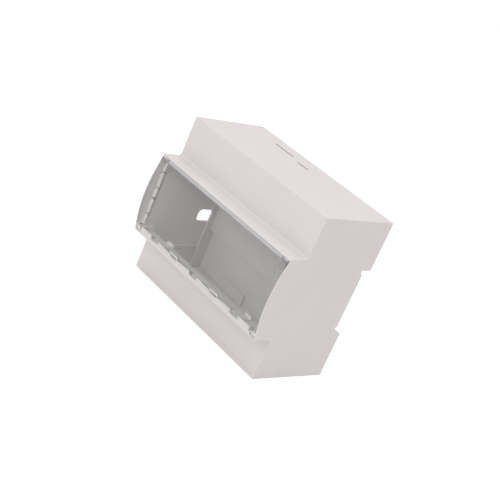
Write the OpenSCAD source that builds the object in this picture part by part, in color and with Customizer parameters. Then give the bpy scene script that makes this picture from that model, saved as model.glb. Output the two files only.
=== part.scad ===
// Rail-mount case for a single-board computer: a moulded housing with a raised, curved nose,
// a base tray with the rail recess, a clear snap-in front cover and two sprung rail latches.
// Frame: X along the rail, +Z up, the nose faces -Y, origin under the middle of the case.
// Depths are measured forward from the back plane of the case.

/* [Case] */
// Width of the case along the rail, six modules
case_w = 106; // [98:0.5:140]
// Height of the case
case_h = 90; // [88:0.5:100]
// Depth from the back plane to the crown of the nose
case_d = 63.1; // [60:0.1:70]
// Wall thickness of the housing
wall_t = 1.6; // [1.4:0.1:2]
// Rounding of the long outer edges
edge_r = 0.4; // [0.2:0.1:1.2]

/* [Nose] */
// Depth from the back plane to the front of the shoulders
shoulder_d = 49; // [46:0.2:50]
// Height of the raised nose
nose_h = 45; // [44:0.5:50]
// Radius of the curved front of the nose
nose_r = 75; // [60:1:120]
// Fillet where the nose meets the shoulders
root_r = 1.6; // [0.6:0.2:2.4]
// Thickness of the lips that frame the cover at the top and at both ends
lip_t = 1.2; // [1:0.1:1.4]
// Height of the ledge under the cover, from the nose's lower face
ledge_h = 3.4; // [3:0.1:4]
// Length of the four short ribs in the corners of the nose
corner_rib_l = 6.5; // [4:0.5:7.5]
// Height of these ribs
corner_rib_h = 2; // [1:0.1:2.2]
// How far these ribs stand out from the end walls
corner_rib_t = 1.4; // [1:0.1:1.8]
// Length of the four panel stops inside the nose
stop_l = 5; // [3:0.2:8]
// Height of the panel stops
stop_h = 1.2; // [0.9:0.1:1.6]
// Corner radius of the panel stops
stop_r = 0.8; // [0.2:0.1:0.8]
// Size of the panel stops along the depth
stop_size = 1.4; // [0.8:0.1:2]
// Distance of the panel stops from the middle
stop_x = 34.3; // [25:0.1:40]

/* [Rail recess] */
// Width of the rail across its two flanges
rail_w = 35; // [34:0.5:36]
// Thickness of the rail's flange
rail_t = 1; // [0.8:0.1:1.5]
// Play above and below the rail at the recess floor
rail_play = 0.1; // [0.1:0.05:0.5]
// Depth of the recess floor
recess_d = 4.8; // [4.4:0.1:5.4]
// How far the lower wall of the recess flares out at its mouth
flare_low = 1.8; // [1:0.1:2.4]
// How far the upper wall of the recess flares out at its mouth
flare_high = 0.2; // [0.1:0.1:0.8]
// Extra depth of the relief grooves in the corners of the recess
groove_d = 1.4; // [0.8:0.1:1.8]
// Height of the relief grooves
groove_h = 2.4; // [1.6:0.1:3]
// Height of the flat at the bottom of the lower groove
groove_foot = 0.6; // [0.2:0.1:1]
// Height of the slope at the end of the upper groove
groove_slope = 0.5; // [0.2:0.1:1]

/* [Openings] */
// Height of the cable slot in the left end wall
cable_slot_h = 7.2; // [5:0.1:9]
// Corner radius of the cable slot
cable_slot_r = 2.5; // [1:0.1:2.5]
// Depth of the front end of the cable slot
cable_slot_front = 21; // [19:0.2:30]
// Depth of the rear end of the cable slot
cable_slot_rear = 7.8; // [6.8:0.1:10]
// Height of the cable slot's centre line
cable_slot_z = 33.8; // [30:0.1:40]
// Width of the wide slot in the top wall
wide_slot_w = 14; // [10:0.1:18]
// Centre of the wide slot from the middle of the case, to the left
wide_slot_left = 22.2; // [20:0.1:32]
// Depth of the wide slot's centre line
wide_slot_d = 10; // [8:0.1:14]
// Width of the narrow slot in the top wall
narrow_slot_w = 7.2; // [6:0.1:10]
// Centre of the narrow slot from the middle of the case, to the left
narrow_slot_left = 4.2; // [0:0.1:8]
// Depth of the narrow slot's centre line
narrow_slot_d = 12.6; // [8:0.1:16]
// Size of both top slots along the depth
top_slot_size = 1.5; // [1:0.1:2.5]
// Corner radius of the top slots
top_slot_r = 0.4; // [0.2:0.05:0.45]

/* [Board guides] */
// Thickness of a board that slides between the ribs
board_t = 1.6; // [1:0.1:2]
// Play of the board between its ribs
board_play = 0.3; // [0.1:0.05:0.5]
// Height of the lower board above the bottom, and of the upper board below the top
board_z = 13; // [8:0.1:16]
// Thickness of each guide rib
rib_t = 1.2; // [0.8:0.1:1.6]
// How far the guide ribs stand out from the end walls
rib_h = 1.2; // [0.8:0.1:1.6]

/* [Base tray] */
// Gap between the tray and the housing around it
tray_gap = 0.1; // [0.05:0.05:0.2]
// Depth of the tray's inner face above and below the rail recess
tray_inner_d = 5.3; // [4.6:0.1:5.8]
// Depth of the tray's inner face behind the rail recess
tray_bulge_d = 8.6; // [7.8:0.1:9]
// Wall above and below the recess, and around the cored pockets
tray_wall = 1.8; // [1.2:0.1:2]
// Depth of the cored pockets in the back of the tray
core_d = 2.4; // [1:0.1:2.6]
// Thickness of the tray's side walls
side_t = 1.2; // [0.9:0.1:1.6]
// Depth of the front edge of the tray's side walls
side_d = 12.6; // [11:0.2:14]
// Length of each snap barb on the side walls
barb_l = 8; // [5:0.5:10]
// How far the barbs stand out into the housing's end walls
barb_h = 0.5; // [0.3:0.1:0.7]
// Size of a barb along the depth
barb_size = 1.6; // [1.2:0.1:2]
// Distance of the barbs' centres from mid-height
barb_z = 29; // [26:0.5:32]

/* [Rail hooks] */
// Width of each fixed hook above the rail
hook_w = 8; // [5:0.5:12]
// Distance of the outer hooks from the middle
hook_x = 35; // [25:0.5:42]
// How far hooks and latches reach behind the rail's flange
grip = 1.5; // [1:0.1:1.8]
// Play between the rail's flange and what grips it
grip_play = 0.3; // [0.2:0.05:0.4]
// Depth of the rear face of the hooks
hook_rear_d = 0.9; // [0.5:0.1:1.2]
// Thickness of the tips that reach behind the rail's flange
tip_t = 1; // [0.8:0.1:1.4]

/* [Rail latches] */
// Distance of each latch from the middle of the case
latch_x = 20; // [16:0.5:26]
// Width of the latch between the guide lips
latch_w = 13.6; // [11:0.1:15]
// Width of the latch's guided flange
flange_w = 17.6; // [16:0.1:19]
// Thickness of the guided flange
flange_t = 1.3; // [1:0.1:1.5]
// Running gap around the latch
latch_gap = 0.2; // [0.1:0.05:0.3]
// Height of the middle of the guided flange
flange_z = 18; // [16:0.5:19]
// Length of the guided flange
flange_l = 10; // [6:0.5:11]
// Travel of the latch when it is pulled down
latch_travel = 3.5; // [2:0.1:4]
// Height of the pull end
pull_h = 5; // [4:0.1:6.4]
// Depth of the inner face of the pull end
pull_d = 5; // [4:0.1:5.4]
// Height of the pull end above the bottom of the case
pull_z = 0.6; // [0.3:0.1:1]
// Width of the screwdriver slot in the pull end
driver_w = 8; // [5:0.5:10]
// Thickness of the screwdriver slot
driver_t = 1.8; // [1.2:0.1:2]
// Thickness of the pull end above the screwdriver slot
pull_cap = 1; // [0.8:0.1:1.6]
// Height of the bevel on the latch's nose
bevel_h = 3; // [2:0.1:4]
// Width of the bars on both sides of the latch's window
bar_w = 1.8; // [1.4:0.1:2.4]
// Thickness of the two spring arms
arm_t = 0.8; // [0.6:0.1:1]
// Width of the post that the spring arms straddle
post_w = 3.6; // [2.5:0.1:5]
// Length of the post
post_l = 3; // [2:0.1:4]

/* [Front cover] */
// Thickness of the curved sheet
cover_t = 1.5; // [1.2:0.1:2]
// How far the sheet lies behind the nose's curved front
cover_inset = 1.5; // [1:0.1:2]
// Thickness of the rim along the upper edge
rim_t = 2.2; // [1.6:0.1:2.6]
// Thickness of the rim at both ends
rim_side_t = 2.1; // [1.6:0.1:2.6]
// Depth of the rim behind the sheet's front
rim_d = 2.8; // [2.4:0.1:3.5]
// Gap between the cover and the nose around it
cover_gap = 0.2; // [0.1:0.05:0.3]
// Spacing of the cover's tabs and the ledge's clips along the lower edge, one module
module_w = 17.5; // [14:0.5:18]
// Width of the cover's three tabs
tab_w = 6; // [4:0.2:8]
// Depth of the tabs' seats below the top of the ledge
tab_h = 1; // [0.6:0.1:1.2]
// Width of the ledge's two clips
clip_w = 7; // [5.5:0.1:8]
// How far the clips rise above the ledge
clip_h = 0.9; // [0.6:0.1:1.2]
// Width of the release slot under each clip
release_w = 5; // [3:0.1:5.5]
// Height of the release slots
release_h = 0.5; // [0.3:0.1:0.6]
// Height of the middle of the release slots above the nose's lower face
release_z = 2.8; // [2.5:0.1:3]
// Width of the corner blocks beside the slits
corner_w = 3.2; // [2.8:0.1:4]
// Width of the slits beside the corner blocks
slit_w = 1; // [0.4:0.1:1.4]
// Depth of the slits in the cover's upper edge
slit_h = 1.6; // [0.6:0.1:2]
// Height of the flat pads in the cover's upper corners
pad_h = 6.5; // [4:0.1:8]
// Depth of the flat front of the pads
pad_d = 62.5; // [61.5:0.1:63]
// Distance of the inner notches in the side rims from mid-height
notch_near = 3; // [2:0.1:6]
// Distance of the outer notches in the side rims from mid-height
notch_far = 12; // [8:0.5:16]
// Width of these notches
notch_w = 0.9; // [0.6:0.1:2]
// Depth of these notches
notch_d = 1; // [0.4:0.1:1.2]

/* [Hidden] */
$fn = 96;
eps = 0.01;
over = 1;

case_grey = [0.85, 0.83, 0.83];
tray_grey = [0.83, 0.81, 0.81];
latch_grey = [0.80, 0.78, 0.78];
clear_tint = [0.86, 0.88, 0.90, 0.35];

back_y = case_d / 2;
front_d = case_d + over;
mid_z = case_h / 2;
nose_low = mid_z - nose_h / 2;
nose_high = mid_z + nose_h / 2;
room_w = case_w - 2 * wall_t;

// Rail recess: walls at the floor, then at the mouth
recess_low = mid_z - rail_w / 2 - rail_play;
recess_high = mid_z + rail_w / 2 + rail_play;
mouth_low = recess_low - flare_low;
mouth_high = recess_high + flare_high;

// Base tray
tray_w = room_w - 2 * tray_gap;
tray_low = wall_t + tray_gap;
tray_high = case_h - wall_t - tray_gap;
barb_d = (tray_bulge_d + side_d) / 2;
grip_d = recess_d - rail_t - grip_play;

// Rail latches and their channels
channel_w = flange_w + 2 * latch_gap;
slot_w = latch_w + 2 * latch_gap;
lip_d = grip_d - flange_t - latch_gap;
floor_d = grip_d + latch_gap;
pull_top = pull_z + pull_h;
pocket_top = pull_top + 3 * latch_gap;
pocket_d = pull_d + latch_gap;
window_w = latch_w - 2 * bar_w;
window_low = pocket_top + 3 * latch_gap;
post_z = window_low + latch_gap;
window_high = post_z + post_l + latch_travel + latch_gap;

// Inside of the nose, its ledge, and the front cover between the ledge and the lips
inner_low = nose_low + wall_t;
inner_high = nose_high - wall_t;
ledge_z = nose_low + ledge_h;
seat_z = ledge_z - tab_h;
frame_w = case_w - 2 * lip_t;
frame_high = nose_high - lip_t;
cover_w = frame_w - 2 * cover_gap;
cover_low = ledge_z + cover_gap;
cover_high = frame_high - cover_gap;
cover_r = nose_r - cover_inset;
sheet_r = cover_r - cover_t;
rim_r = cover_r - rim_d;
clip_top = ledge_z + clip_h;
slit_x = cover_w / 2 - corner_w - slit_w / 2;
ledge_cut_d = [round_front(rim_r, nose_low) - over, front_d];

// Depth at height z of a curved front of radius r about the axis of the nose
function round_front(r, z) = case_d - nose_r + sqrt(r * r - (z - mid_z) * (z - mid_z));
// Range of a size about its centre
function span(centre, size) = [centre - size / 2, centre + size / 2];
// Y of a point that lies d in front of the back plane
function at_depth(d) = back_y - d;

// Extrusion of a (Y, Z) outline along the rail, centred
module along_rail(length) {
    rotate([90, 0, 90])
        linear_extrude(length, center = true)
            children();
}

// Extrusion of an (X, Z) outline from depth d[0] to depth d[1]
module through_depth(d) {
    translate([0, at_depth(d[0]), 0])
        rotate([90, 0, 0])
            linear_extrude(d[1] - d[0])
                children();
}

// Copy turned over about the mid-height of the case
module upside_down() {
    translate([0, 0, case_h])
        mirror([0, 0, 1])
            children();
}

// Box given by its ranges in X, depth and Z
module block(x, d, z) {
    translate([x[0], at_depth(d[1]), z[0]])
        cube([x[1] - x[0], d[1] - d[0], z[1] - z[0]]);
}

// Rectangle in the (Y, Z) plane, given by its ranges in depth and Z
module section(d, z) {
    translate([at_depth(d[1]), z[0]])
        square([d[1] - d[0], z[1] - z[0]]);
}

// Rectangle with round corners, its lower left corner at the origin
module rounded_rect(size, r) {
    translate([r, 0])
        square([size.x - 2 * r, size.y]);
    translate([0, r])
        square([size.x, size.y - 2 * r]);
    for (x = [r, size.x - r], y = [r, size.y - r])
        translate([x, y])
            circle(r);
}

// Slice of the round nose between two heights and in front of depth d
module nose_slice(r, d, z) {
    intersection() {
        section([d, front_d], z);
        nose_round(r);
    }
}

// Slice of the shell between two radii of the round nose
module nose_shell(outer, inner, z) {
    difference() {
        nose_slice(outer, shoulder_d, z);
        nose_round(inner);
    }
}

module nose_round(r) {
    translate([at_depth(case_d - nose_r), mid_z])
        circle(r, $fn = 240);
}

// End view of the case: shoulders, curved nose and the fillets between them
module case_outline() {
    translate([at_depth(shoulder_d), 0])
        rounded_rect([shoulder_d, case_h], edge_r);
    nose_slice(nose_r, shoulder_d - over, [nose_low, nose_high]);
    for (side = [0, 1])
        translate([at_depth(shoulder_d + root_r), side == 1 ? nose_high : nose_low])
            mirror([0, 1 - side])
                difference() {
                    translate([0, -over])
                        square(root_r + over);
                    translate([0, root_r])
                        circle(root_r);
                }
}

// Room inside the housing, open at the back and at the front of the nose
module room_outline() {
    section([-over, shoulder_d - wall_t], [wall_t, case_h - wall_t]);
    section([shoulder_d - wall_t - over, front_d], [inner_low, inner_high]);
}

// Rail recess in the back: flared walls, a flat floor and two relief grooves
module recess_outline() {
    full_d = recess_d + groove_d;
    low_rate = flare_low / recess_d;
    high_rate = flare_high / recess_d;
    translate([back_y, 0])
        mirror([1, 0])
            polygon([
                [-over, mouth_low - low_rate * over],
                [full_d, mouth_low + low_rate * full_d],
                [full_d, mouth_low + low_rate * full_d + groove_foot],
                [recess_d, recess_low + groove_h],
                [recess_d, recess_high - groove_h],
                [full_d, recess_high - groove_h + groove_slope],
                [full_d, mouth_high - high_rate * full_d],
                [-over, mouth_high + high_rate * over]
            ]);
}

// Pair of ribs that hold a board's edge, on the inside of one end wall
module board_guide(z) {
    offset_z = (board_t + board_play + rib_t) / 2;
    for (s = [-1, 1])
        block(
            [room_w / 2 - rib_h, room_w / 2 + eps],
            [side_d + over, shoulder_d - wall_t + eps],
            span(z + s * offset_z, rib_t)
        );
}

// Narrow slot through the top wall
module top_slot(centre_x, width, d) {
    translate([centre_x - width / 2, at_depth(d) - top_slot_size / 2, case_h - wall_t - over])
        linear_extrude(wall_t + 2 * over)
            rounded_rect([width, top_slot_size], top_slot_r);
}

// Rounded slot through the left end wall
module cable_slot() {
    translate([-(case_w - wall_t) / 2, 0, 0])
        along_rail(wall_t + 2 * over)
            translate([at_depth(cable_slot_front), cable_slot_z - cable_slot_h / 2])
                rounded_rect([cable_slot_front - cable_slot_rear, cable_slot_h], cable_slot_r);
}

// Cuts in the ledge: seats of the cover's tabs, corner slits and the slots under the clips
module ledge_cuts() {
    for (k = [-2 : 2 : 2])
        block(span(k * module_w, tab_w + 2 * cover_gap), ledge_cut_d, [seat_z, ledge_z + over]);
    for (s = [-1, 1]) {
        block(span(s * slit_x, slit_w), ledge_cut_d, [seat_z, ledge_z + over]);
        block(
            span(s * module_w, release_w),
            [round_front(cover_r, nose_low), front_d],
            span(nose_low + release_z, release_h)
        );
    }
}

// Short rib in the lower right corner of the nose, behind the cover
module corner_rib() {
    d = round_front(rim_r, inner_low) - 2 * cover_gap;
    block(
        [room_w / 2 - corner_rib_t, room_w / 2 + eps],
        [d - corner_rib_l, d],
        [inner_low - eps, inner_low + corner_rib_h]
    );
}

// Stop for a panel, on the inside of the nose's lower wall
module panel_stop(x) {
    d = shoulder_d - wall_t;
    through_depth([d, d + stop_size])
        translate([x - stop_l / 2, inner_low - stop_h])
            rounded_rect([stop_l, 2 * stop_h], stop_r);
}

// Blind recesses in the end walls for the tray's snap barbs
module barb_recesses() {
    grow = tray_gap;
    for (sx = [-1, 1], sz = [-1, 1])
        translate([sx * (room_w / 2), at_depth(barb_d), mid_z + sz * barb_z])
            cube([2 * (barb_h + grow), barb_size + 2 * grow, barb_l + 2 * grow], center = true);
}

// Housing: one moulding with top, bottom, shoulders, nose and both end walls, open at the back
module housing() {
    color(case_grey)
        difference() {
            intersection() {
                along_rail(case_w)
                    case_outline();
                through_depth([-over, front_d])
                    translate([-case_w / 2, 0])
                        rounded_rect([case_w, case_h], edge_r);
            }
            difference() {
                union() {
                    along_rail(room_w)
                        room_outline();
                    along_rail(frame_w)
                        nose_shell(nose_r + over, rim_r - cover_gap, [inner_low, frame_high]);
                }
                along_rail(case_w)
                    nose_shell(nose_r, rim_r, [inner_low - eps, ledge_z]);
                for (s = [-1, 1])
                    translate([s * module_w, 0, 0])
                        along_rail(clip_w)
                            nose_shell(nose_r, cover_r, [ledge_z - eps, clip_top]);
                for (s = [0, 1])
                    mirror([s, 0, 0]) {
                        corner_rib();
                        upside_down()
                            corner_rib();
                    }
                for (z = [board_z, case_h - board_z], s = [0, 1])
                    mirror([s, 0, 0])
                        board_guide(z);
                for (x = [-stop_x, stop_x]) {
                    panel_stop(x);
                    upside_down()
                        panel_stop(x);
                }
            }
            along_rail(case_w + 2 * over)
                recess_outline();
            cable_slot();
            top_slot(-wide_slot_left, wide_slot_w, wide_slot_d);
            top_slot(-narrow_slot_left, narrow_slot_w, narrow_slot_d);
            ledge_cuts();
            barb_recesses();
            for (s = [-1, 1])
                block(
                    span(s * latch_x, channel_w),
                    [-over, pocket_d],
                    [-over, wall_t + over]
                );
        }
}

// Section of the tray's back: thin above and below, bulged forward over the rail recess
module tray_outline() {
    difference() {
        union() {
            section([0, tray_inner_d], [tray_low, tray_high]);
            section(
                [tray_inner_d - over, tray_bulge_d],
                [recess_low - tray_wall, recess_high + tray_wall]
            );
        }
        recess_outline();
    }
}

// Side wall of the tray on the right, with two snap barbs
module tray_side() {
    block([tray_w / 2 - side_t, tray_w / 2], [tray_inner_d - over, side_d], [tray_low, tray_high]);
    for (sz = [-1, 1])
        translate([tray_w / 2, at_depth(barb_d), mid_z + sz * barb_z])
            cube([2 * barb_h, barb_size, barb_l], center = true);
}

// Cored pockets in the back of the tray, one for each module, clear of the latch channels
module core_pockets() {
    n = floor(tray_w / module_w);
    pitch = (tray_w - tray_wall) / n;
    high = [mouth_high + tray_wall, tray_high - tray_wall];
    for (k = [0 : n - 1]) {
        x0 = -tray_w / 2 + tray_wall + k * pitch;
        block([x0, x0 + pitch - tray_wall], [-over, core_d], high);
    }
    low = [tray_low + tray_wall, mouth_low - tray_wall];
    inner = latch_x - channel_w / 2 - tray_wall;
    outer = latch_x + channel_w / 2 + tray_wall;
    block(span(0, 2 * inner), [-over, core_d], low);
    for (s = [0, 1])
        mirror([s, 0, 0])
            block([outer, tray_w / 2 - tray_wall], [-over, core_d], low);
}

// Channel of one latch: a slot between two lips, a wider floor and a deep pocket for the pull end
module latch_channel() {
    block(span(0, slot_w), [-over, floor_d], [0, recess_low + over]);
    block(span(0, channel_w), [lip_d, floor_d], [0, recess_low + over]);
    block(span(0, channel_w), [-over, pocket_d], [0, pocket_top]);
}

// Fixed hook above the rail, with a sloped underside that lets the rail swing in
module rail_hook() {
    tip = mid_z + rail_w / 2 - grip;
    along_rail(hook_w)
        translate([back_y, 0])
            mirror([1, 0])
                polygon([
                    [hook_rear_d, mouth_high + over],
                    [hook_rear_d, tip + grip],
                    [grip_d - tip_t, tip],
                    [grip_d, tip],
                    [grip_d, mouth_high + over]
                ]);
}

// Base tray: back wall with the rail recess, side walls, latch channels and fixed hooks
module base_tray() {
    color(tray_grey) {
        difference() {
            union() {
                along_rail(tray_w)
                    tray_outline();
                for (s = [-1, 1])
                    block(
                        span(s * latch_x, channel_w + 2 * tray_wall),
                        [tray_inner_d - over, pocket_d + tray_wall],
                        [tray_low, pocket_top + tray_wall]
                    );
            }
            core_pockets();
            for (s = [-1, 1])
                translate([s * latch_x, 0, 0])
                    latch_channel();
        }
        for (s = [0, 1])
            mirror([s, 0, 0])
                tray_side();
        for (s = [-1, 1])
            block(
                span(s * latch_x, post_w),
                [lip_d, floor_d + eps],
                [post_z, post_z + post_l]
            );
        for (k = [-1 : 1])
            translate([k * hook_x, 0, 0])
                rail_hook();
    }
}

// Rail latch: a flat slide with a bevelled nose, a guided flange, fork spring arms and a pull end
module rail_latch() {
    tip = mid_z - rail_w / 2 + grip;
    neck_z = flange_z + flange_l / 2;
    difference() {
        union() {
            block(span(0, latch_w), [latch_gap, grip_d], [pull_top - over, neck_z + over]);
            block(span(0, flange_w), [grip_d - flange_t, grip_d], span(flange_z, flange_l));
            block(span(0, flange_w), [latch_gap, pull_d], [pull_z, pull_top]);
            along_rail(latch_w)
                translate([back_y, 0])
                    mirror([1, 0])
                        polygon([
                            [latch_gap, neck_z],
                            [grip_d, neck_z],
                            [grip_d, tip],
                            [grip_d - tip_t, tip],
                            [latch_gap, tip - bevel_h]
                        ]);
        }
        block(span(0, window_w), [-over, grip_d + over], [window_low, window_high]);
        block(span(0, driver_w), span(pull_d / 2, driver_t), [0, pull_top - pull_cap]);
    }
    for (s = [0, 1])
        mirror([s, 0, 0])
            block(
                span(post_w / 2 + latch_gap + arm_t / 2, arm_t),
                [lip_d, grip_d],
                [post_z + post_l / 2, window_high + eps]
            );
}

module rail_latch_left() {
    color(latch_grey)
        translate([-latch_x, 0, 0])
            rail_latch();
}

module rail_latch_right() {
    color(latch_grey)
        translate([latch_x, 0, 0])
            rail_latch();
}

// Tab at the cover's lower edge, in a seat of the ledge
module cover_tab(x) {
    translate([x, 0, 0])
        along_rail(tab_w)
            nose_shell(nose_r - cover_gap, sheet_r, [seat_z + cover_gap, cover_low + cover_gap]);
}

// Flat pads in the cover's two upper corners, proud of the curve
module corner_pads() {
    low = cover_high - pad_h;
    for (s = [-1, 1])
        translate([s * (cover_w - corner_w) / 2, 0, 0])
            along_rail(corner_w)
                translate([back_y, 0])
                    mirror([1, 0])
                        polygon([
                            [pad_d, low],
                            [pad_d, cover_high],
                            [round_front(cover_r, cover_high) - cover_t / 2, cover_high],
                            [round_front(cover_r, low) - cover_t / 2, low]
                        ]);
}

// Rim behind the sheet along the upper edge and both ends, notched at the ends
module cover_rim() {
    difference() {
        along_rail(cover_w)
            nose_shell(sheet_r + eps, rim_r, [cover_low, cover_high]);
        along_rail(cover_w - 2 * rim_side_t)
            nose_slice(cover_r, shoulder_d, [nose_low, cover_high - rim_t]);
        for (s = [-1, 1], z = [notch_near, notch_far])
            along_rail(case_w)
                nose_slice(rim_r + notch_d, shoulder_d, span(mid_z + s * z, notch_w));
    }
}

// Clear front cover: a curved sheet with a rim, three tabs, corner pads and room for the clips
module front_cover() {
    color(clear_tint)
        difference() {
            union() {
                along_rail(cover_w)
                    nose_shell(cover_r, sheet_r, [cover_low, cover_high]);
                cover_rim();
                corner_pads();
                for (k = [-2 : 2 : 2])
                    cover_tab(k * module_w);
            }
            for (s = [-1, 1]) {
                block(
                    span(s * module_w, clip_w + 2 * cover_gap),
                    [shoulder_d, front_d],
                    [cover_low - over, clip_top + cover_gap]
                );
                block(
                    span(s * slit_x, slit_w),
                    [shoulder_d, front_d],
                    [cover_high - slit_h, cover_high + over]
                );
            }
        }
}

housing();
base_tray();
front_cover();
rail_latch_left();
rail_latch_right();
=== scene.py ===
import math

import bmesh
import bpy
from mathutils import Matrix, Vector


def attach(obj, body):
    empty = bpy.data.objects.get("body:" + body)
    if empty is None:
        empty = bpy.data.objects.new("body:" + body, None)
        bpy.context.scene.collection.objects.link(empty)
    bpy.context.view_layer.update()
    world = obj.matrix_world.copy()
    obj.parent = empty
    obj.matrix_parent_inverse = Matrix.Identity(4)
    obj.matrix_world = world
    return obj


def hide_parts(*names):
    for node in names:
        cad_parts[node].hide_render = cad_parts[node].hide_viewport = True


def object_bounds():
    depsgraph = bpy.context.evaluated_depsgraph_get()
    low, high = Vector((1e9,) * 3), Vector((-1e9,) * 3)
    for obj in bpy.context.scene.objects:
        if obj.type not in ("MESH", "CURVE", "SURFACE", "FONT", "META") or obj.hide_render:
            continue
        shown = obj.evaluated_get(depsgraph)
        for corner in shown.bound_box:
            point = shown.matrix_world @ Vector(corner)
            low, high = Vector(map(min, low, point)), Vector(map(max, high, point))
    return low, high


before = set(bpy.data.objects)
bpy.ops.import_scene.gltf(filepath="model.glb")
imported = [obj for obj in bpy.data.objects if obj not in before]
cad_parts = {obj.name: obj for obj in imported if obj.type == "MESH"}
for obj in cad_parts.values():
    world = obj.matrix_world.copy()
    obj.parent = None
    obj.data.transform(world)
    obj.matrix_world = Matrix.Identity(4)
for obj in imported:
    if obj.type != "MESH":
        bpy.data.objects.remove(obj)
cad_low, cad_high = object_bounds()


# Base tray: the back of the case, injection moulded in light grey ABS, with the recess for the 35 mm rail
# and the fixed hooks above it. Barbs on its side walls snap into the housing. The mesh is the part's own
# tray, with its flat faces joined again and its sharp edges rounded as a mould rounds them.
mm_per_m = 1000
solid_weld = 1e-6
flat_angle = math.radians(0.3)
sharp_angle = math.radians(30)
# A Mix node gives its colour at the third socket
mixed_colour = 2


def linear(hex_colour):
    parts = [int(hex_colour[k:k + 2], 16) / 255 for k in (0, 2, 4)]
    return [c / 12.92 if c <= 0.04045 else ((c + 0.055) / 1.055) ** 2.4 for c in parts] + [1.0]


def add_node(tree, kind, settings=None, values=None, links=None):
    node = tree.nodes.new(kind)
    for name, value in (settings or {}).items():
        setattr(node, name, value)

    def socket(name):
        fits = [entry for entry in node.inputs if entry.name == name and entry.enabled]
        return fits[0] if fits else node.inputs[name]

    for name, value in (values or {}).items():
        socket(name).default_value = value
    for name, source in (links or {}).items():
        tree.links.new(source, socket(name))
    return node


def moulded_plastic(name, base_hex, flow_hex, edge_highlight_hex, grain_mm, roughness):
    flow_mm = 26
    grain_depth = 0.00004
    grain_spread = 0.07
    highlight_and_rub_r = 0.0005
    rubbed_polish = 0.15
    material = bpy.data.materials.new(name)
    material.use_nodes = True
    tree = material.node_tree
    tree.nodes.clear()
    place = add_node(tree, "ShaderNodeTexCoord")
    # Broad, faint clouds where the melt flowed
    flow = add_node(
        tree,
        "ShaderNodeTexNoise",
        None,
        {"Scale": mm_per_m / flow_mm, "Detail": 3.0, "Distortion": 0.6},
        {"Vector": place.outputs["Object"]},
    )
    tone = add_node(
        tree,
        "ShaderNodeMix",
        {"data_type": "RGBA"},
        {"A": linear(base_hex), "B": linear(flow_hex)},
        {"Factor": flow.outputs["Fac"]},
    )
    # Spark-eroded grain, drawn coarser than the real 0.05 mm so that it shows
    grain = add_node(
        tree,
        "ShaderNodeTexNoise",
        None,
        {"Scale": mm_per_m / grain_mm, "Detail": 3.0, "Roughness": 0.6},
        {"Vector": place.outputs["Object"]},
    )
    # Edges rubbed smoother by handling, and painted a little lighter as a highlight
    soft = add_node(tree, "ShaderNodeBevel", {"samples": 4}, {"Radius": highlight_and_rub_r})
    true = add_node(tree, "ShaderNodeNewGeometry")
    facing = add_node(
        tree,
        "ShaderNodeVectorMath",
        {"operation": "DOT_PRODUCT"},
        None,
        {0: soft.outputs["Normal"], 1: true.outputs["Normal"]},
    )
    highlight_and_rub = add_node(
        tree,
        "ShaderNodeMapRange",
        None,
        {"From Min": 0.99, "From Max": 0.8, "To Min": 0.0, "To Max": 0.6},
        {"Value": facing.outputs["Value"]},
    )
    # Painted highlight: the band along the edges takes the lighter edge colour
    colour = add_node(
        tree,
        "ShaderNodeMix",
        {"data_type": "RGBA"},
        {"B": linear(edge_highlight_hex)},
        {"Factor": highlight_and_rub.outputs["Result"], "A": tone.outputs[mixed_colour]},
    )
    fine = add_node(
        tree,
        "ShaderNodeMapRange",
        None,
        {"To Min": roughness - grain_spread, "To Max": roughness + grain_spread},
        {"Value": grain.outputs["Fac"]},
    )
    rough = add_node(
        tree,
        "ShaderNodeMath",
        {"operation": "MULTIPLY_ADD"},
        {1: -rubbed_polish},
        {0: highlight_and_rub.outputs["Result"], 2: fine.outputs["Result"]},
    )
    bump = add_node(
        tree,
        "ShaderNodeBump",
        None,
        {"Strength": 0.15, "Distance": grain_depth},
        {"Height": grain.outputs["Fac"]},
    )
    plastic = add_node(
        tree,
        "ShaderNodeBsdfPrincipled",
        None,
        {"IOR": 1.53},
        {
            "Base Color": colour.outputs[mixed_colour],
            "Roughness": rough.outputs["Value"],
            "Normal": bump.outputs["Normal"],
        },
    )
    add_node(tree, "ShaderNodeOutputMaterial", None, None, {"Surface": plastic.outputs["BSDF"]})
    return material


def join_flats(mesh, weld, drop_slivers):
    shape = bmesh.new()
    shape.from_mesh(mesh)
    bmesh.ops.remove_doubles(shape, verts=shape.verts, dist=weld)
    if drop_slivers:
        bmesh.ops.dissolve_degenerate(shape, edges=shape.edges, dist=weld)
    bmesh.ops.dissolve_limit(shape, angle_limit=flat_angle, verts=shape.verts, edges=shape.edges)
    shape.to_mesh(mesh)
    shape.free()


def joined_copy(node, name):
    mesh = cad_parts[node].data.copy()
    mesh.name = name
    mesh.materials.clear()
    join_flats(mesh, solid_weld, False)
    if "custom_normal" in mesh.attributes:
        mesh.attributes.remove(mesh.attributes["custom_normal"])
    piece = bpy.data.objects.new(name, mesh)
    bpy.context.scene.collection.objects.link(piece)
    return piece


# Works a piece's modifiers into a plain mesh
def make_plain(piece):
    bpy.context.view_layer.update()
    settled = piece.evaluated_get(bpy.context.evaluated_depsgraph_get())
    plain = bpy.data.meshes.new_from_object(settled)
    piece.modifiers.clear()
    piece.data = plain


def round_edges(piece, radius):
    bevel = piece.modifiers.new("round", "BEVEL")
    bevel.width = radius
    bevel.segments = 2
    bevel.limit_method = "ANGLE"
    bevel.angle_limit = sharp_angle
    bevel.use_clamp_overlap = False
    bevel.miter_outer = "MITER_SHARP"
    bevel.harden_normals = True
    piece.data.shade_smooth()
    piece.data.set_sharp_from_angle(angle=sharp_angle)
    make_plain(piece)


def finish_piece(piece, node, body, slot, *materials):
    for material in materials:
        piece.data.materials.append(material)
    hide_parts(node)
    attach(piece, body)


tray_edge_r = 0.0002
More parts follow.
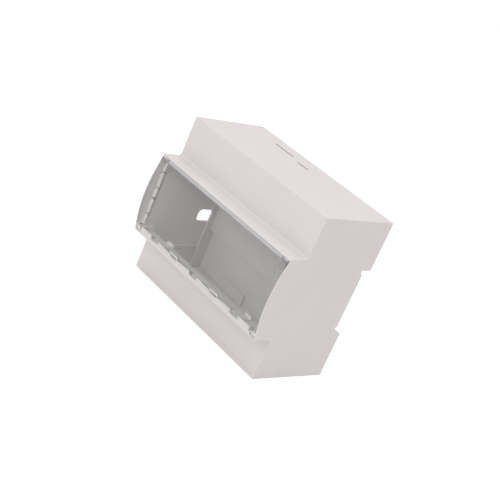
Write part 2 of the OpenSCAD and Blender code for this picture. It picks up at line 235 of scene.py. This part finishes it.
# Moulded ABS with a spark-eroded grain: even and nearly matt to the eye, a shade darker than the housing
tray_abs = moulded_plastic(
    "Moulded_ABS_tray_grey",
    base_hex="DAD4D3",
    flow_hex="D5CFCE",
    # Lighter colour painted on the edges as a highlight
    edge_highlight_hex="DED8D7",
    grain_mm=0.4,
    roughness=0.55,
)
tray = joined_copy("base_tray", "base_tray_moulding")
round_edges(tray, tray_edge_r)
finish_piece(tray, "base_tray", "case", "tray_plastic", tray_abs)


# Rail latches: two slides injection moulded in tougher nylon, at the lower edge of the rail recess. Each has
# spring arms that straddle a post on the tray and push its hook behind the rail's lower flange. The meshes
# are the part's own latches with their edges rounded.
latch_edge_r = 0.00015
# Moulded nylon: a shade darker than the ABS, with a finer grain that gives it a soft sheen
latch_nylon = moulded_plastic(
    "Moulded_nylon_grey",
    base_hex="CFC9C8",
    flow_hex="CAC4C3",
    # Lighter colour painted on the edges as a highlight
    edge_highlight_hex="D4CECD",
    grain_mm=0.3,
    roughness=0.45,
)
for side in ("left", "right"):
    latch = joined_copy("rail_latch_" + side, "rail_latch_moulding_" + side)
    round_edges(latch, latch_edge_r)
    finish_piece(latch, "rail_latch_" + side, "latch_" + side, "latch_plastic", latch_nylon)


# Housing: one injection moulding in warm light grey ABS, open at the back, that snaps over the tray's barbs.
# Its stepped shoulders carry a raised nose with curved cheeks and a window for the cover. The mesh is the
# part's own housing; the ledge, clips and cheek edges around the window are added to it and cut from it.
nose_r = 0.075
back_y = cad_high[1]
case_end = cad_high[0]
nose_axis = Vector((0, cad_low[1] + nose_r, (cad_low[2] + cad_high[2]) / 2))


def nose_arc(radius, low, high, steps=28):
    heights = [low + (high - low) * k / steps for k in range(steps + 1)]
    return [(nose_axis.y - math.sqrt(radius ** 2 - (z - nose_axis.z) ** 2), z) for z in heights]


# Outline of a wall that follows the nose, between two radii and two heights
def nose_wall(outer, inner, low, high):
    return nose_arc(outer, low, high) + nose_arc(inner, low, high)[::-1]


def oblong(front, rear, low, high):
    return [(front, low), (front, high), (rear, high), (rear, low)]


def prism(outline, x_low, x_high):
    shape = bmesh.new()
    ends = [[shape.verts.new((x, y, z)) for y, z in outline] for x in (x_low, x_high)]
    shape.faces.new(ends[0])
    shape.faces.new(ends[1])
    for k in range(len(outline)):
        j = (k + 1) % len(outline)
        shape.faces.new((ends[0][k], ends[0][j], ends[1][j], ends[1][k]))
    bmesh.ops.recalc_face_normals(shape, faces=shape.faces)
    mesh = bpy.data.meshes.new("prism")
    shape.to_mesh(mesh)
    shape.free()
    piece = bpy.data.objects.new("prism", mesh)
    bpy.context.scene.collection.objects.link(piece)
    return piece


# Node tree that sets like details out in a row along the case
row_tree = bpy.data.node_groups.new("Row_along_the_case", "GeometryNodeTree")
row_tree.is_modifier = True
row_input_kinds = {
    "Detail": "NodeSocketObject",
    "Count": "NodeSocketInt",
    "First": "NodeSocketFloat",
    "Pitch": "NodeSocketFloat",
    "Finish": "NodeSocketMaterial",
}
row_inputs = {
    name: row_tree.interface.new_socket(name, in_out="INPUT", socket_type=kind).identifier
    for name, kind in row_input_kinds.items()
}
row_tree.interface.new_socket("Row", in_out="OUTPUT", socket_type="NodeSocketGeometry")
asked = add_node(row_tree, "NodeGroupInput")
single = add_node(row_tree, "GeometryNodeObjectInfo", None, None, {"Object": asked.outputs["Detail"]})
start_at = add_node(row_tree, "ShaderNodeCombineXYZ", None, None, {"X": asked.outputs["First"]})
step_by = add_node(row_tree, "ShaderNodeCombineXYZ", None, None, {"X": asked.outputs["Pitch"]})
places = add_node(
    row_tree,
    "GeometryNodeMeshLine",
    {"mode": "OFFSET"},
    None,
    {
        "Count": asked.outputs["Count"],
        "Start Location": start_at.outputs["Vector"],
        "Offset": step_by.outputs["Vector"],
    },
)
copies = add_node(
    row_tree,
    "GeometryNodeInstanceOnPoints",
    None,
    None,
    {"Points": places.outputs["Mesh"], "Instance": single.outputs["Geometry"]},
)
solid = add_node(
    row_tree, "GeometryNodeRealizeInstances", None, None, {"Geometry": copies.outputs["Instances"]}
)
coated = add_node(
    row_tree,
    "GeometryNodeSetMaterial",
    None,
    None,
    {"Geometry": solid.outputs["Geometry"], "Material": asked.outputs["Finish"]},
)
add_node(row_tree, "NodeGroupOutput", None, None, {"Row": coated.outputs["Geometry"]})


# A row of like details, centred on the middle of the case
def row(outline, half_width, count, pitch, finish):
    detail = prism(outline, -half_width, half_width)
    whole = bpy.data.objects.new("row", bpy.data.meshes.new("row"))
    bpy.context.scene.collection.objects.link(whole)
    nodes = whole.modifiers.new("row", "NODES")
    nodes.node_group = row_tree
    nodes[row_inputs["Detail"]] = detail
    nodes[row_inputs["Count"]] = count
    nodes[row_inputs["First"]] = -pitch * (count - 1) / 2
    nodes[row_inputs["Pitch"]] = pitch
    nodes[row_inputs["Finish"]] = finish
    make_plain(whole)
    bpy.data.objects.remove(detail)
    return whole


# Two like details, each from near to far on its side of the middle
def pair(outline, near, far, finish):
    return row(outline, (far - near) / 2, 2, near + far, finish)


def combine(piece, operation, tools, weld):
    for tool in tools:
        step = piece.modifiers.new("combine", "BOOLEAN")
        step.operation = operation
        step.object = tool
        step.solver = "EXACT"
    make_plain(piece)
    join_flats(piece.data, weld, True)
    piece.data.materials.clear()
    for tool in tools:
        bpy.data.objects.remove(tool)


# Moulded ABS with a spark-eroded grain: even and nearly matt to the eye, edges painted a little lighter as
# highlight
case_abs = moulded_plastic(
    "Moulded_ABS_warm_grey",
    base_hex="DED8D7",
    flow_hex="D9D3D2",
    # Lighter colour painted on the edges as a highlight
    edge_highlight_hex="E2DCDB",
    grain_mm=0.4,
    roughness=0.55,
)
module_w = 0.0175
# Play between pieces, a hair that keeps two faces from coinciding, and how far a cut runs past the nose
fit = 0.0001
hair = 0.00001
past_nose = 0.002
housing_weld = 5e-6
housing_edge_r = 0.00015

# Seat of the cover in the window
cheek_edge = 0.0006
cover_sunk = 0.0002
cover_wall = 0.0015
cover_end = case_end - cheek_edge
cover_r = nose_r - cover_sunk
sheet_r = cover_r - cover_wall
cover_low = 0.0272
cover_high = 0.0661
corner_low = 0.0234
corner_in = 0.0484
seat_low = cover_low - 2 * fit
seat_high = cover_high + 2 * fit
seat_end = cover_end + fit

# Lip on the ledge under the window, with gaps for the cover's tabs, a slit at each end and two clips on it.
# The solid's own release slots are filled here, and cut again higher.
ledge_z = 0.0259
lip_z = 0.0270
clip_z = 0.0278
slit_w = 0.0010
slit_in = corner_in - slit_w
tab_half = 0.0030
tab_room = tab_half + 2 * fit
tab_pitch = 2 * module_w
clip_half = 0.0035
release_half = 0.0025
filler_half = release_half + fit
filler_r = 0.0724
filler_low = 0.0250
filler_high = 0.0256
lip = nose_wall(nose_r - 5 * hair, sheet_r + fit, ledge_z - fit, lip_z)
filler = nose_wall(nose_r - 5 * hair, filler_r, filler_low, filler_high)
clip = nose_wall(nose_r - 8 * hair, sheet_r + 2 * fit, lip_z - fit, clip_z)

# Bar behind each end of the cover, where the cheek is stepped back
bar_front = back_y - 0.0563
bar_rear = back_y - 0.0552
bar_in = 0.0508
bar_out = 0.0516
bar_low = ledge_z + 0.0010
bar_high = 0.0635
bar = oblong(bar_front, bar_rear, bar_low, bar_high)

housing = joined_copy("housing", "housing_moulding")
added = [
    pair(lip, tab_pitch + tab_room, slit_in, case_abs),
    pair(lip, tab_room, tab_pitch - tab_room, case_abs),
    pair(filler, module_w - filler_half, module_w + filler_half, case_abs),
    pair(clip, module_w - clip_half, module_w + clip_half, case_abs),
    pair(bar, bar_in, bar_out, case_abs),
]
combine(housing, "UNION", added, housing_weld)

# Room for the cover's ends in the cheeks, and the gaps that break up each bar
room_in = 0.0507
room_front = nose_arc(nose_r + past_nose, seat_low, seat_high)
room = [(bar_front, seat_low), (bar_front, seat_high)] + room_front[::-1]
gap_heights = (0.0330, 0.0420, 0.0480, 0.0570)
gap_half = 0.0005
gap_front = bar_front - 0.0002
gap_rear = bar_rear + 0.0008

# Seats of the cover's corners, and the slots under the clips that a blade releases the cover through
corner_seat = nose_wall(nose_r + past_nose, sheet_r - fit, corner_low - fit, cover_low)
release_deep = 0.0012
release_low = 0.0261
release_high = 0.0266
release = nose_wall(nose_r + past_nose, cover_r - release_deep, release_low, release_high)

# Walls under the window, thinned from inside between the ribs
thin_rear = back_y - 0.0465
thin_near = 0.0372
thin_far = 0.0499
thin_half = 0.0314
under_nose_front = back_y - 0.0555
under_nose_low = 0.0234
under_nose_high = 0.0243
shoulder_front = back_y - 0.0482
shoulder_low = 0.0150
shoulder_high = 0.0235
under_nose = oblong(under_nose_front, thin_rear, under_nose_low, under_nose_high)
shoulder = oblong(shoulder_front, thin_rear, shoulder_low, shoulder_high)

# Two slots through the top wall: where each starts and stops along the case, and its depth from the back
slot_half = 0.0009
slot_low = 0.0880
slot_high = 0.0910
top_slots = ((-0.0300, -0.0150, 0.0100), (-0.0090, -0.0004, 0.0126))

cuts = [pair(room, room_in, seat_end, case_abs)]
for z in gap_heights:
    cuts.append(pair(oblong(gap_front, gap_rear, z - gap_half, z + gap_half), room_in, seat_end, case_abs))
cuts.append(pair(corner_seat, corner_in - fit, seat_end, case_abs))
cuts.append(pair(release, module_w - release_half, module_w + release_half, case_abs))
for thinned in (under_nose, shoulder):
    cuts.append(pair(thinned, thin_near, thin_far, case_abs))
    cuts.append(prism(thinned, -thin_half, thin_half))
for start, stop, depth in top_slots:
    slot_y = back_y - depth
    cuts.append(prism(oblong(slot_y - slot_half, slot_y + slot_half, slot_low, slot_high), start, stop))
combine(housing, "DIFFERENCE", cuts, housing_weld)
round_edges(housing, housing_edge_r)
finish_piece(housing, "housing", "case", "case_plastic", case_abs)


# Front cover: a clear polycarbonate sheet, 1.5 mm thick, moulded to the curve of the nose and snapped into
# its window. Three tabs sit in gaps of the lip, two cut-outs take the clips, and a rim stiffens its top edge.
# The mould's polished side makes the curved faces, its plain ejector side the rim and the edges.
def polycarbonate(name, base_hex, flow_hex, grain_mm, smooth, coarse, relief, through):
    flow_mm = 18
    grain_depth = 0.00004
    material = bpy.data.materials.new(name)
    material.use_nodes = True
    tree = material.node_tree
    tree.nodes.clear()
    place = add_node(tree, "ShaderNodeTexCoord")
    # Slow change of tint along the melt's flow
    flow = add_node(
        tree,
        "ShaderNodeTexNoise",
        None,
        {"Scale": mm_per_m / flow_mm, "Detail": 2.0},
        {"Vector": place.outputs["Object"]},
    )
    tint = add_node(
        tree,
        "ShaderNodeMix",
        {"data_type": "RGBA"},
        {"A": linear(base_hex), "B": linear(flow_hex)},
        {"Factor": flow.outputs["Fac"]},
    )
    # Finish of the mould's face, drawn coarser than it is so that it shows
    grain = add_node(
        tree,
        "ShaderNodeTexNoise",
        None,
        {"Scale": mm_per_m / grain_mm, "Detail": 2.0},
        {"Vector": place.outputs["Object"]},
    )
    finish = add_node(
        tree,
        "ShaderNodeMapRange",
        None,
        {"To Min": smooth, "To Max": coarse},
        {"Value": grain.outputs["Fac"]},
    )
    bump = add_node(
        tree,
        "ShaderNodeBump",
        None,
        {"Strength": relief, "Distance": grain_depth},
        {"Height": grain.outputs["Fac"]},
    )
    resin = add_node(
        tree,
        "ShaderNodeBsdfPrincipled",
        None,
        {"IOR": 1.585, "Transmission Weight": through},
        {
            "Base Color": tint.outputs[mixed_colour],
            "Roughness": finish.outputs["Result"],
            "Normal": bump.outputs["Normal"],
        },
    )
    # Light passes straight through, so the lamps reach the inside of the case
    ray = add_node(tree, "ShaderNodeLightPath")
    passing = add_node(tree, "ShaderNodeBsdfTransparent", None, {"Color": linear("FDFDFD")})
    either = add_node(
        tree,
        "ShaderNodeMixShader",
        None,
        None,
        {0: ray.outputs["Is Shadow Ray"], 1: resin.outputs["BSDF"], 2: passing.outputs["BSDF"]},
    )
    add_node(tree, "ShaderNodeOutputMaterial", None, None, {"Surface": either.outputs["Shader"]})
    return material


# Polished polycarbonate: clear, with a sharp reflection and the faintest waves
clear_pc = polycarbonate(
    "Clear_polycarbonate",
    base_hex="FEFEFE",
    flow_hex="FBFCFC",
    grain_mm=6.0,
    smooth=0.0,
    coarse=0.02,
    relief=0.02,
    through=1.0,
)
# Polycarbonate off a plain mould face: pale and milky, so that edges and tabs show as light lines
frosted_pc = polycarbonate(
    "Frosted_polycarbonate",
    base_hex="F1F0F0",
    flow_hex="ECEBEC",
    grain_mm=0.4,
    smooth=0.42,
    coarse=0.58,
    relief=0.15,
    through=0.25,
)
# Clear face with the rim behind it: a cool grey haze along the top of the window
hazy_pc = polycarbonate(
    "Hazy_polycarbonate",
    base_hex="ECEAED",
    flow_hex="E6E4E8",
    grain_mm=0.4,
    smooth=0.28,
    coarse=0.42,
    relief=0.1,
    through=0.55,
)
clear_index, frosted_index, hazy_index = range(3)
cover_weld = 1e-6
cover = prism(nose_wall(cover_r, sheet_r, cover_low, cover_high), -cover_end, cover_end)
cover.name = "front_cover_moulding"

# Rim along the top, corner blocks and tabs along the bottom, and a pad at each upper corner. Each laps into
# the sheet, and the blocks, tabs and pads stop a hair short of its faces.
lap = 0.0002
block_end = cover_end - 5 * hair
rim_r = nose_r - 0.0043
rim_end = 0.0512
rim_h = 0.0022
tab_low = 0.0251
pad_front_y = back_y - 0.0611
pad_low = 0.0606
pad_in = cover_end - 0.0036
rim = nose_wall(sheet_r + lap, rim_r, cover_high - rim_h, cover_high)
corner = nose_wall(cover_r - 3 * hair, sheet_r + 3 * hair, corner_low, cover_low + lap)
tab = nose_wall(cover_r - 3 * hair, sheet_r + 3 * hair, tab_low, cover_low + lap)
pad_back = nose_arc(sheet_r + lap, pad_low, cover_high)
pad = [(pad_front_y, pad_low), (pad_front_y, cover_high)] + pad_back[::-1]
added = [
    prism(rim, -rim_end, rim_end),
    pair(corner, corner_in, block_end, clear_pc),
    pair(pad, pad_in, block_end, clear_pc),
    row(tab, tab_half, 3, tab_pitch, clear_pc),
]
combine(cover, "UNION", added, cover_weld)

# Cut-outs for the clips, and a slit in the top edge beside each pad
cut_outer = 0.078
cut_inner = 0.069
cut_half = clip_half + 2 * fit
cut_below = 0.001
slit_inner = 0.072
slit_x = 0.0479
slit_deep = 0.0016
slit_top = 0.067
cut_out = nose_wall(cut_outer, cut_inner, cover_low - cut_below, clip_z + 2 * fit)
slit = nose_wall(cut_outer, slit_inner, cover_high - slit_deep, slit_top)
notches = [
    pair(cut_out, module_w - cut_half, module_w + cut_half, clear_pc),
    pair(slit, slit_x - slit_w / 2, slit_x + slit_w / 2, clear_pc),
]
combine(cover, "DIFFERENCE", notches, cover_weld)

# Polished curved faces, pads and ends; haze where the rim lies behind the sheet; the rest frosted
haze_low = cover_high - 0.0014
pad_face_low = 0.0600
square_on = 0.99
for face in cover.data.polygons:
    arm = face.center - nose_axis
    arm.x = 0
    curved = abs(face.normal.dot(arm.normalized())) > square_on and arm.length > sheet_r - 2 * fit
    end_face = abs(face.normal.x) > square_on and arm.length > sheet_r
    pad_face = face.normal.y < -square_on and face.center.z > pad_face_low
    if curved and face.center.z > haze_low:
        face.material_index = hazy_index
    elif curved or pad_face or end_face:
        face.material_index = clear_index
    else:
        face.material_index = frosted_index
cover.data.shade_smooth()
cover.data.set_sharp_from_angle(angle=sharp_angle)
finish_piece(cover, "front_cover", "cover", "clear_plastic", clear_pc, frosted_pc, hazy_pc)


# Studio: a sheet of white paper under a plain white sky, lit by three square softboxes at the front, at the
# right and above. The paper and the sky show white to the eye and in the clear cover, and light the case at
# a plain level.
def seen_rays(tree):
    ray = add_node(tree, "ShaderNodeLightPath")
    mirrored = add_node(
        tree,
        "ShaderNodeMath",
        {"operation": "MAXIMUM"},
        None,
        {0: ray.outputs["Is Camera Ray"], 1: ray.outputs["Is Glossy Ray"]},
    )
    seen = add_node(
        tree,
        "ShaderNodeMath",
        {"operation": "MAXIMUM"},
        None,
        {0: mirrored.outputs["Value"], 1: ray.outputs["Is Transmission Ray"]},
    )
    return seen.outputs["Value"]


scene = bpy.context.scene
scene.view_settings.view_transform = "Standard"
sky_light = 0.6
sky_white = 1.0
world = bpy.data.worlds.new("Studio")
scene.world = world
world.use_nodes = True
sky_tree = world.node_tree
sky_tree.nodes.clear()
dome = add_node(sky_tree, "ShaderNodeBackground", None, {"Color": linear("FFFFFF"), "Strength": sky_light})
backdrop = add_node(
    sky_tree, "ShaderNodeBackground", None, {"Color": linear("FFFFFF"), "Strength": sky_white}
)
sky = add_node(
    sky_tree,
    "ShaderNodeMixShader",
    None,
    None,
    {0: seen_rays(sky_tree), 1: dome.outputs["Background"], 2: backdrop.outputs["Background"]},
)
add_node(sky_tree, "ShaderNodeOutputWorld", None, None, {"Surface": sky.outputs["Shader"]})

# White paper: dull and even, burnt out to white for the eye but still with the case's shadow on it
floor_size = 12
paper_glow = 0.75
shadow_white = (0.4, 0.4, 0.4, 1)
paper_white = (0.94, 0.94, 0.94, 1)
bpy.ops.mesh.primitive_plane_add(size=floor_size)
floor = bpy.context.active_object
floor.name = "floor"
paper = bpy.data.materials.new("White_paper")
paper.use_nodes = True
paper_tree = paper.node_tree
paper_tree.nodes.clear()
glow = add_node(paper_tree, "ShaderNodeEmission", None, {"Strength": paper_glow})
shaded = add_node(paper_tree, "ShaderNodeBsdfDiffuse", None, {"Color": shadow_white})
bright = add_node(
    paper_tree, "ShaderNodeAddShader", None, None, {0: glow.outputs["Emission"], 1: shaded.outputs["BSDF"]}
)
plain_paper = add_node(paper_tree, "ShaderNodeBsdfDiffuse", None, {"Color": paper_white})
paper_face = add_node(
    paper_tree,
    "ShaderNodeMixShader",
    None,
    None,
    {0: seen_rays(paper_tree), 1: plain_paper.outputs["BSDF"], 2: bright.outputs["Shader"]},
)
add_node(paper_tree, "ShaderNodeOutputMaterial", None, None, {"Surface": paper_face.outputs["Shader"]})
floor.data.materials.append(paper)

softbox_size = 1.2
aim = Vector((0, 0, 0.05))
softboxes = (
    ("front_panel", 7.7, (0.1, -1.5, 0.88)),
    ("side_panel", 2.4, (1.7, 0.45, 0.5)),
    ("top_panel", 12.5, (0.0, 0.1, 2.0)),
)
for name, watts, spot in softboxes:
    panel = bpy.data.lights.new(name, "AREA")
    panel.size = softbox_size
    panel.energy = watts
    lamp = bpy.data.objects.new(name, panel)
    scene.collection.objects.link(lamp)
    lamp.location = spot
    lamp.rotation_euler = (aim - lamp.location).to_track_quat("-Z", "Y").to_euler()

# Camera fitted to the case's corners in the 500-pixel photo, which is tilted as well as turned
photo_px = 500
focal_px = 1164.8
sensor_mm = 36
camera_spot = (0.37051, -0.41770, 0.24732)
azimuth = math.radians(41.389)
elevation = math.radians(20.107)
roll = math.radians(23.932)
camera_data = bpy.data.cameras.new("camera")
camera_data.sensor_width = sensor_mm
camera_data.lens = sensor_mm * focal_px / photo_px
camera = bpy.data.objects.new("camera", camera_data)
scene.collection.objects.link(camera)
reach = math.cos(elevation)
back = Vector((math.sin(azimuth) * reach, -math.cos(azimuth) * reach, math.sin(elevation)))
level = Vector((math.cos(azimuth), math.sin(azimuth), 0))
above = back.cross(level)
right = level * math.cos(roll) + above * math.sin(roll)
up = above * math.cos(roll) - level * math.sin(roll)
camera.matrix_world = Matrix.Translation(camera_spot) @ Matrix((right, up, back)).transposed().to_4x4()
scene.camera = camera
